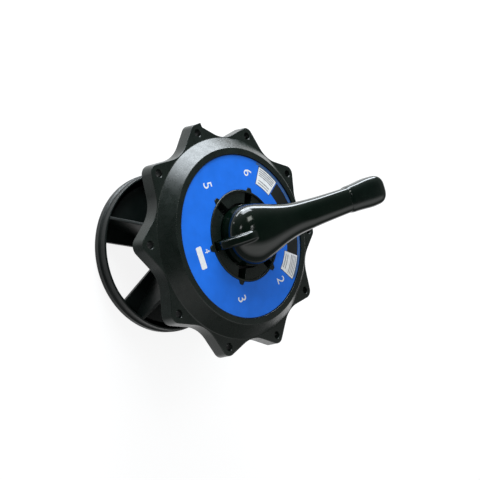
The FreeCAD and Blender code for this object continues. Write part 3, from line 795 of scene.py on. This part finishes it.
# Handle: rounded sections along the arm and the grip
def section(station, growth=0.0, size=1.0):
    """Closed rounded section, square to the arm, as an array of points."""
    x, z, lean_deg, half_w, rise, drop = station
    angles = np.arange(AROUND) * 2 * math.pi / AROUND
    c, s = np.cos(angles), np.sin(angles)
    reach = (abs(c) ** SQUARENESS + abs(s) ** SQUARENESS) ** (-1 / SQUARENESS)
    across = c * reach * (half_w + growth) * size
    up = s * reach * np.where(s >= 0, rise + growth, drop + growth) * size
    lean = math.radians(lean_deg)
    return np.stack([x - up * math.sin(lean), across, z + up * math.cos(lean)], 1)


def splined(knots, values, places):
    """Natural cubic curve through rows of values, read at the given places."""
    gaps = np.diff(knots)
    count = len(knots)
    system, right = np.eye(count), np.zeros_like(values)
    for i in range(1, count - 1):
        system[i, i - 1:i + 2] = gaps[i - 1], 2 * (gaps[i - 1] + gaps[i]), gaps[i]
        slope_before = (values[i] - values[i - 1]) / gaps[i - 1]
        right[i] = 6 * ((values[i + 1] - values[i]) / gaps[i] - slope_before)
    bend = np.linalg.solve(system, right)
    i = np.clip(np.searchsorted(knots, places) - 1, 0, count - 2)
    before, after, gap = [v[:, None] for v in (places - knots[i], knots[i + 1] - places, gaps[i])]
    curved = (bend[i] * after**3 + bend[i + 1] * before**3) / (6 * gap)
    low_share = (values[i] / gap - bend[i] * gap / 6) * after
    high_share = (values[i + 1] / gap - bend[i + 1] * gap / 6) * before
    return curved + low_share + high_share


def skinned(stations, growth=0.0):
    """Rows of sections, about a millimetre apart, along a smooth run through the stations."""
    rows = np.array([section(station, growth).ravel() for station in stations])
    centres = np.array([station[:2] for station in stations])
    knots = np.concatenate([[0], np.cumsum(np.linalg.norm(np.diff(centres, axis=0), axis=1))])
    places = np.linspace(0, knots[-1], int(knots[-1]) + 1)
    return splined(knots, rows, places).reshape(len(places), AROUND, 3)


def closed_tube(rows):
    """Mesh through rows of sections, with a face at each end."""
    return mesh_of(rows.reshape(-1, 3), row_faces(len(rows), AROUND))


def hub_dome():
    """Round hub with a flat crest that falls towards the nose."""
    profile = [(0, DOME_TOP), (0, HEEL_Z), (DOME_R - 1.0, HEEL_Z)]
    for degrees in range(0, 90, 3):
        c, s = math.cos(math.radians(degrees)), math.sin(math.radians(degrees))
        reach = (c**DOME_SQUARENESS + s**DOME_SQUARENESS) ** (-1 / DOME_SQUARENESS)
        profile.append((DOME_R * c * reach, WAIST_Z + (DOME_TOP - WAIST_Z) * s * reach))
    dome = revolved(profile)
    for vertex in dome.vertices:
        share = max(0.0, (vertex.co.z / MM - WAIST_Z) / (DOME_TOP - WAIST_Z))
        vertex.co.z += CREST_SLOPE * vertex.co.x * share
    return dome


def arc_through(a, b, c):
    """Centre, radius, and start and end in degrees of the arc through three points."""
    (ax, ay), (bx, by), (cx, cy) = a, b, c
    d = 2 * (ax * (by - cy) + bx * (cy - ay) + cx * (ay - by))
    sa, sb, sc = ax * ax + ay * ay, bx * bx + by * by, cx * cx + cy * cy
    x = (sa * (by - cy) + sb * (cy - ay) + sc * (ay - by)) / d
    y = (sa * (cx - bx) + sb * (ax - cx) + sc * (bx - ax)) / d
    start = math.degrees(math.atan2(ay - y, ax - x))
    end = math.degrees(math.atan2(cy - y, cx - x))
    return (x, y), math.hypot(ax - x, ay - y), start, end


def nose():
    """Index nose: a fin on the back of the hub whose curved top has chamfered edges."""
    root, bend, tip = (-3.0, 31.51), (-26.0, 27.5), (NOSE_REACH, NOSE_LOW + 6.0)
    centre, radius, start, end = arc_through(root, bend, tip)
    inner = radius - NOSE_CHAMFER
    inner_end = 180 - math.degrees(math.acos(min(1.0, (centre[0] - NOSE_REACH) / inner)))
    verts = []
    for k in range(NOSE_STEPS + 1):
        top_deg = math.radians(start + (end - start) * k / NOSE_STEPS)
        low_deg = math.radians(start + (inner_end - start) * k / NOSE_STEPS)
        x, z = centre[0] + radius * math.cos(top_deg), centre[1] + radius * math.sin(top_deg)
        cx, cz = centre[0] + inner * math.cos(low_deg), centre[1] + inner * math.sin(low_deg)
        half_row = [(x, NOSE_HALF - NOSE_CHAMFER, z), (cx, NOSE_HALF, cz), (cx, NOSE_HALF, NOSE_LOW)]
        verts += half_row + [(px, -py, pz) for px, py, pz in half_row[::-1]]
    return mesh_of(verts, row_faces(NOSE_STEPS + 1, 6))


def heel_point(angle):
    """Point of the heel's rolling curve, an involute of the circle of the lever arm."""
    height = PIN_Z - HEEL_Z + LEVER * angle
    x = height * math.sin(angle) + LEVER * math.cos(angle)
    return x, PIN_Z - height * math.cos(angle) + LEVER * math.sin(angle)


def hub_cuts():
    """What is cut from the hub: pocket for the tongue, shoulder, room under the heel and pin bore."""
    heel = [heel_point(PRESS * k / 8) for k in range(9)]
    front = (heel[-1][0] + HEEL_RELIEF[0], heel[-1][1] + HEEL_RELIEF[1])
    heel_cut = side_plate(heel + [front, (front[0], BELOW), (heel[0][0], BELOW)], OUTSIDE)
    throat = STEM_R / math.cos(PRESS) + (PIN_Z - HEEL_Z) * math.tan(PRESS) + POCKET_GAP
    pocket_arc = arc(POCKET_R, 0, 180, 32, (0.0, PIN_Z))
    pocket = side_plate(pocket_arc + [(-POCKET_R, BELOW), (throat, BELOW), (throat, 0.0)], POCKET_HALF)
    shoulder_outline = rectangle((-POCKET_R - OVERLAP, BELOW - 1), (throat + OVERLAP, SHOULDER_Z))
    shoulder = side_plate(shoulder_outline, SHOULDER_HALF)
    pin_bore = plate([circle(PIN_R, 48)], -OUTSIDE, PIN_BORE_END)
    pin_bore.transform(Matrix.Rotation(math.pi / 2, 4, "X"))
    pin_bore.transform(Matrix.Translation((0, 0, PIN_Z * MM)))
    return [pocket, shoulder, heel_cut, pin_bore]


def arm_core():
    """Hollow under the arm, with a gap for each web."""
    hollow_stations = []
    for x, z, lean, half_w, rise, drop in ARM[3:]:
        hollow_stations.append((x, z, lean, half_w - ARM_WALL, rise - ARM_WALL, drop + ARM_WALL))
    hollow = closed_tube(skinned(hollow_stations))
    raised = closed_tube(skinned(ARM))
    raised.transform(Matrix.Translation((0, 0, WEB_RECESS * MM)))
    webs = []
    for x in WEB_X:
        slab = side_plate(rectangle((x, 0.0), (x + WEB_T, 90.0)), 30.0)
        webs.append(combined(slab, "INTERSECT", [raised.copy()]))
    return combined(hollow, "DIFFERENCE", webs)


def fade(values, start, length):
    """Share that grows from 0 at a start to 1 over a length."""
    return np.clip((values - start) / length, 0, 1)


def near_hub(points):
    """Weight that is 1 where the arm leaves the hub and fades out round it."""
    x, z = points[:, 0], points[:, 2]
    behind, low, far = fade(x, -6, 12), fade(z, 3, 3), fade(-x, -54, 16)
    return behind * low * far


def handle_form():
    """Hub and arm blended into one form, with the nose and the tang, and everything cut out of it."""
    hub_and_arm = combined(hub_dome(), "UNION", [closed_tube(skinned(ARM))])
    blend = eased(remeshed(hub_and_arm, BLEND_VOXEL), BLEND_ROUNDS, near_hub)
    whole = combined(blend, "UNION", [nose(), closed_tube(skinned(GRIP, -GRIP_WALL))])
    return combined(whole, "DIFFERENCE", hub_cuts() + [arm_core()])


def sleeve():
    """Grip: outer skin with a rounded tip, and the bore for the tang."""
    inside = GRIP[:3] + [TIP_START]
    outside = []
    for (x, z, lean_deg, half_w, rise, drop), growth in zip(inside, SLEEVE_GROWTH):
        outside.append((x, z, lean_deg, half_w + growth, rise + growth, drop + growth))
    rows = skinned(inside)
    # The sleeve gains its thickness over three rows, and one more row reaches over the arm's rounded end
    step_share = np.clip((np.arange(len(rows)) + 0.4) / 3, 0, 1) ** 0.5
    rows += (skinned(outside) - rows) * step_share[:, None, None]
    first_row = rows[0] + (rows[0] - rows[1]) * 1.2
    x, z, lean_deg, half_w, rise, drop = outside[-1]
    lean = math.radians(lean_deg)
    tip = []
    for degrees in range(6, 90, 6):
        along = TIP_LENGTH * math.sin(math.radians(degrees)) ** TIP_POWER
        size = math.cos(math.radians(degrees)) ** TIP_POWER
        station = (x + along * math.cos(lean), z + along * math.sin(lean), lean_deg, half_w, rise, drop)
        tip.append(section(station, 0.0, size))
    outer = closed_tube(np.concatenate([first_row[None], rows, np.array(tip)]))
    bore_rows = skinned(GRIP, -BORE_WALL)
    back = (bore_rows[0] - bore_rows[1]) * 2 + bore_rows[0]
    return combined(outer, "DIFFERENCE", [closed_tube(np.concatenate([back[None], bore_rows]))])


def moulded_piece(name, mesh, slot, material):
    """Piece of the handle, whose fine mesh needs no sharp edges."""
    return new_piece(name, mesh, "handle", slot, material, sharp_deg=180, even=False)


body = moulded(handle_form(), BODY_ROUNDS)
handle = moulded_piece("handle_body", body, "black_handle", handle_black)
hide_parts("handle")
grip_mesh = moulded(sleeve(), SLEEVE_ROUNDS)
grip = moulded_piece("handle_sleeve", grip_mesh, "grip_rubber", grip_black)
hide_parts("handle_grip")


# Spring: a coil with ends ground flat
def coil():
    """Round wire wound on a helix, with both ends cut level."""
    ground = GROUND_SHARE * 2 * WIRE_R
    travel = SPRING_TOP - SPRING_FOOT - ground
    steps_per_turn = 72
    around = 20
    steps = int(TURNS * steps_per_turn)
    slope = math.atan2(travel, 2 * math.pi * COIL_R * TURNS)
    verts = []
    for k in range(steps + 1):
        turn = 2 * math.pi * TURNS * k / steps
        rise = SPRING_FOOT + ground / 2 + travel * k / steps
        for i in range(around):
            a = 2 * math.pi * i / around
            out, up = WIRE_R * math.cos(a), WIRE_R * math.sin(a)
            r, back = COIL_R + out, -up * math.sin(slope)
            x = r * math.cos(turn) - back * math.sin(turn)
            y = r * math.sin(turn) + back * math.cos(turn)
            z = rise + up * math.cos(slope)
            verts.append((x, y, min(max(z, SPRING_FOOT + GROUND_GAP), SPRING_TOP - GROUND_GAP)))
    return mesh_of(verts, row_faces(steps + 1, around))


spring = new_piece("spring_coil", coil(), "turntable", "stainless", spring_steel)
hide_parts("spring")
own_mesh(spring)


# Nodes that keep their solids get smooth shading and their finish here
def smooth_by_angle():
    """Geometry nodes that shade a mesh smooth and keep its sharp edges."""
    group = bpy.data.node_groups.new("smooth_by_angle", "GeometryNodeTree")
    group.interface.new_socket("Geometry", in_out="INPUT", socket_type="NodeSocketGeometry")
    group.interface.new_socket("Geometry", in_out="OUTPUT", socket_type="NodeSocketGeometry")
    nodes, links = group.nodes, group.links
    group_in, group_out = nodes.new("NodeGroupInput"), nodes.new("NodeGroupOutput")
    merge = nodes.new("GeometryNodeMergeByDistance")
    merge.inputs["Distance"].default_value = 1e-6
    smooth_all = nodes.new("GeometryNodeSetShadeSmooth")
    edge_angle = nodes.new("GeometryNodeInputMeshEdgeAngle")
    is_sharp = nodes.new("FunctionNodeCompare")
    is_sharp.data_type = "FLOAT"
    is_sharp.operation = "GREATER_THAN"
    is_sharp.inputs[1].default_value = math.radians(35)
    sharp_edges = nodes.new("GeometryNodeSetShadeSmooth")
    sharp_edges.domain = "EDGE"
    sharp_edges.inputs["Shade Smooth"].default_value = False
    links.new(group_in.outputs[0], merge.inputs["Geometry"])
    links.new(merge.outputs[0], smooth_all.inputs["Geometry"])
    links.new(edge_angle.outputs["Unsigned Angle"], is_sharp.inputs[0])
    links.new(smooth_all.outputs[0], sharp_edges.inputs["Geometry"])
    links.new(is_sharp.outputs[0], sharp_edges.inputs["Selection"])
    links.new(sharp_edges.outputs[0], group_out.inputs[0])
    return group


shading = smooth_by_angle()
kept_solids = [
    (seal_black, ("cover_seal", "stem_wiper", "upper_stem_seal", "lower_stem_seal")),
    (bush_white, ("stem_bush", "slip_ring")),
    (steel, ("heel_wear_plate", "upper_spring_washer", "lower_spring_washer", "stem")),
    (steel, ("drive_key", "foot_washer", "foot_screw", "handle_pin")),
]
for material, names in kept_solids:
    for name in names:
        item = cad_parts[name]
        item.data.materials.clear()
        item.data.materials.append(material)
        item.modifiers.new("smooth_by_angle", "NODES").node_group = shading


# Floor, in metres: white where it is seen, with the object's shadow on it, and painted shade that dims
# it in some reflections
def reflected_level(nodes, links):
    """How bright the floor is in reflections, with painted shade: dim towards -X of the part, and in the
    far -Y corner.
    """
    where = nodes.new("ShaderNodeSeparateXYZ")
    links.new(nodes.new("ShaderNodeTexCoord").outputs["Object"], where.inputs[0])
    x, y = where.outputs["X"], where.outputs["Y"]
    near = mapped(nodes, links, x, -0.13, -0.04, 0.08, 0.7)
    aside = mapped(nodes, links, calculated(nodes, links, "ABSOLUTE", y), 0.07, 0.15, 0.0, 1.0)
    skew = calculated(nodes, links, "MULTIPLY_ADD", x, 0.95, y)
    forward = mapped(nodes, links, skew, -0.2, 0.02, 0.2, 1.0)
    far = calculated(nodes, links, "MAXIMUM", forward, mapped(nodes, links, y, -0.32, -0.24, 0.0, 1.0))
    return calculated(nodes, links, "MULTIPLY", calculated(nodes, links, "MAXIMUM", near, aside), far)


def floor_paint():
    """Paint that rays from the camera see as white, and other rays as a pale floor."""
    paint = bpy.data.materials.new("floor")
    paint.use_nodes = True
    nodes, links = paint.node_tree.nodes, paint.node_tree.links
    nodes.remove(nodes["Principled BSDF"])
    plain = nodes.new("ShaderNodeBsdfDiffuse")
    plain.inputs["Color"].default_value = (0.8, 0.8, 0.8, 1)
    faint = nodes.new("ShaderNodeBsdfDiffuse")
    faint.inputs["Color"].default_value = (0.2, 0.2, 0.2, 1)
    glow = nodes.new("ShaderNodeEmission")
    glow.inputs["Strength"].default_value = 0.86
    dim_glow = nodes.new("ShaderNodeEmission")
    links.new(reflected_level(nodes, links), dim_glow.inputs["Strength"])
    ray = nodes.new("ShaderNodeLightPath").outputs
    both = nodes.new("ShaderNodeAddShader")
    links.new(faint.outputs[0], both.inputs[0])
    any_glow = chosen(nodes, links, ray["Is Glossy Ray"], glow.outputs[0], dim_glow.outputs[0])
    links.new(any_glow, both.inputs[1])
    seen = calculated(nodes, links, "MAXIMUM", ray["Is Camera Ray"], ray["Is Glossy Ray"])
    seen = calculated(nodes, links, "MAXIMUM", seen, ray["Is Transmission Ray"])
    painted = chosen(nodes, links, seen, plain.outputs[0], both.outputs[0])
    links.new(painted, nodes["Material Output"].inputs["Surface"])
    return paint


FLOOR_HALF = 4.0
FLOOR_GAP = 0.0002
floor_mesh = bpy.data.meshes.new("floor")
floor_corners = rectangle((-FLOOR_HALF, -FLOOR_HALF), (FLOOR_HALF, FLOOR_HALF))
floor_mesh.from_pydata([(x, y, 0) for x, y in floor_corners], [], [(0, 1, 2, 3)])
floor_mesh.materials.append(floor_paint())
floor = bpy.data.objects.new("floor", floor_mesh)
floor.location = (0, 0, cad_box[0].z - FLOOR_GAP)
bpy.context.scene.collection.objects.link(floor)


# World: white behind the object, an even fill, and a studio that darkens upwards in reflections
def studio_level(nodes, links):
    """How bright the studio is in reflections: a ramp with height, and a panel on one side."""
    split = nodes.new("ShaderNodeSeparateXYZ")
    links.new(nodes.new("ShaderNodeTexCoord").outputs["Generated"], split.inputs[0])
    ramp = nodes.new("ShaderNodeValToRGB")
    ramp.color_ramp.elements[0].color = (0.95, 0.95, 0.95, 1)
    ramp.color_ramp.elements[1].color = (0.03, 0.034, 0.034, 1)
    for position, level in ((0.15, 0.75), (0.4, 0.42), (0.7, 0.25), (0.85, 0.12), (0.94, 0.05)):
        element = ramp.color_ramp.elements.new(position)
        element.color = (level, level, level, 1)
    links.new(split.outputs["Z"], ramp.inputs["Fac"])
    towards_back = mapped(nodes, links, split.outputs["X"], -0.7, -0.1, 0.2, 1.0)
    towards_front = mapped(nodes, links, split.outputs["X"], 0.6, 0.9, 1.0, 0.3)
    base_level = calculated(nodes, links, "MULTIPLY", ramp.outputs["Color"], towards_back)
    mix = nodes.new("ShaderNodeMix")
    links.new(mapped(nodes, links, split.outputs["Y"], -0.38, -0.22, 1.0, 0.0), mix.inputs["Factor"])
    links.new(calculated(nodes, links, "MULTIPLY", base_level, towards_front), mix.inputs["A"])
    links.new(mapped(nodes, links, split.outputs["Z"], 0.45, 0.75, 0.15, 1.15), mix.inputs["B"])
    return mix.outputs["Result"]


def light_world():
    """Sets the scene's world."""
    world = bpy.data.worlds.new("world")
    bpy.context.scene.world = world
    world.use_nodes = True
    nodes, links = world.node_tree.nodes, world.node_tree.links
    background = nodes["Background"]
    background.inputs["Color"].default_value = (1, 1, 1, 1)
    background.inputs["Strength"].default_value = 1.0
    studio = nodes.new("ShaderNodeBackground")
    links.new(studio_level(nodes, links), studio.inputs["Color"])
    fill = nodes.new("ShaderNodeBackground")
    fill.inputs["Color"].default_value = (0.97, 0.985, 1.0, 1)
    fill.inputs["Strength"].default_value = 0.52
    ray = nodes.new("ShaderNodeLightPath").outputs
    reflected = chosen(nodes, links, ray["Is Glossy Ray"], fill.outputs[0], studio.outputs[0])
    clear = calculated(nodes, links, "MAXIMUM", ray["Is Camera Ray"], ray["Is Transmission Ray"])
    seen = chosen(nodes, links, clear, reflected, background.outputs[0])
    links.new(seen, nodes["World Output"].inputs["Surface"])


light_world()

# Lamps, in metres: name, direction from the part, distance, width, height, radiance and tint
BLUISH = (0.87, 0.94, 1.0)
GREENISH = (0.95, 1.0, 0.93)
WHITE = (1.0, 1.0, 1.0)
LAMPS = [
    ("key_box", (0.47, 0.88, 0.19), 1.0, 0.9, 0.3, 15.0, BLUISH),
    ("rim_box", (0.17, 0.87, 0.42), 1.0, 0.5, 0.35, 12.5, BLUISH),
    ("side_box", (-0.03, 0.99, 0.10), 1.0, 0.5, 0.14, 12.0, BLUISH),
    ("ceiling_lamp_1", (0.03, 0.43, 0.90), 1.2, 0.18, 0.25, 6.0, GREENISH),
    ("ceiling_lamp_2", (-0.60, 0.79, 0.18), 1.2, 0.12, 0.12, 5.0, WHITE),
    ("ceiling_lamp_3", (-0.41, 0.34, 0.85), 1.2, 0.12, 0.12, 5.0, WHITE),
    ("ceiling_lamp_4", (0.04, 0.10, 0.99), 1.2, 0.07, 0.07, 6.0, WHITE),
]


def softbox(name, direction, distance, width, height, radiance, tint):
    """Area lamp that looks at the middle of the part. Its radiance is what a mirror would show."""
    lamp = bpy.data.lights.new(name, "AREA")
    lamp.shape = "RECTANGLE"
    lamp.size = width
    lamp.size_y = height
    lamp.energy = radiance * math.pi * width * height
    lamp.color = tint
    item = bpy.data.objects.new(name, lamp)
    bpy.context.scene.collection.objects.link(item)
    away = Vector(direction).normalized()
    side = Vector((0, 0, 1)).cross(away).normalized()
    facing = Matrix((side, away.cross(side), away)).transposed().to_4x4()
    item.matrix_world = Matrix.Translation(away * distance) @ facing


for lamp in LAMPS:
    softbox(*lamp)

# Camera at the photograph's angle, in metres and in the part's own frame
CAMERA_PLACE = (-0.42500, 0.05500, 0.43200)
CAMERA_RIGHT = (0.66145, -0.29171, 0.69093)
CAMERA_UP = (0.27289, 0.95172, 0.14057)
CAMERA_BACK = (-0.69858, 0.09557, 0.70912)
camera_data = bpy.data.cameras.new("camera")
camera_data.sensor_width = 36
camera_data.lens = 50.11
camera_data.clip_start = 0.01
camera_data.clip_end = 50
camera = bpy.data.objects.new("camera", camera_data)
bpy.context.scene.collection.objects.link(camera)
facing = Matrix((CAMERA_RIGHT, CAMERA_UP, CAMERA_BACK)).transposed().to_4x4()
camera.matrix_world = Matrix.Translation(CAMERA_PLACE) @ facing
bpy.context.scene.camera = camera
bpy.context.scene.view_settings.view_transform = "Standard"
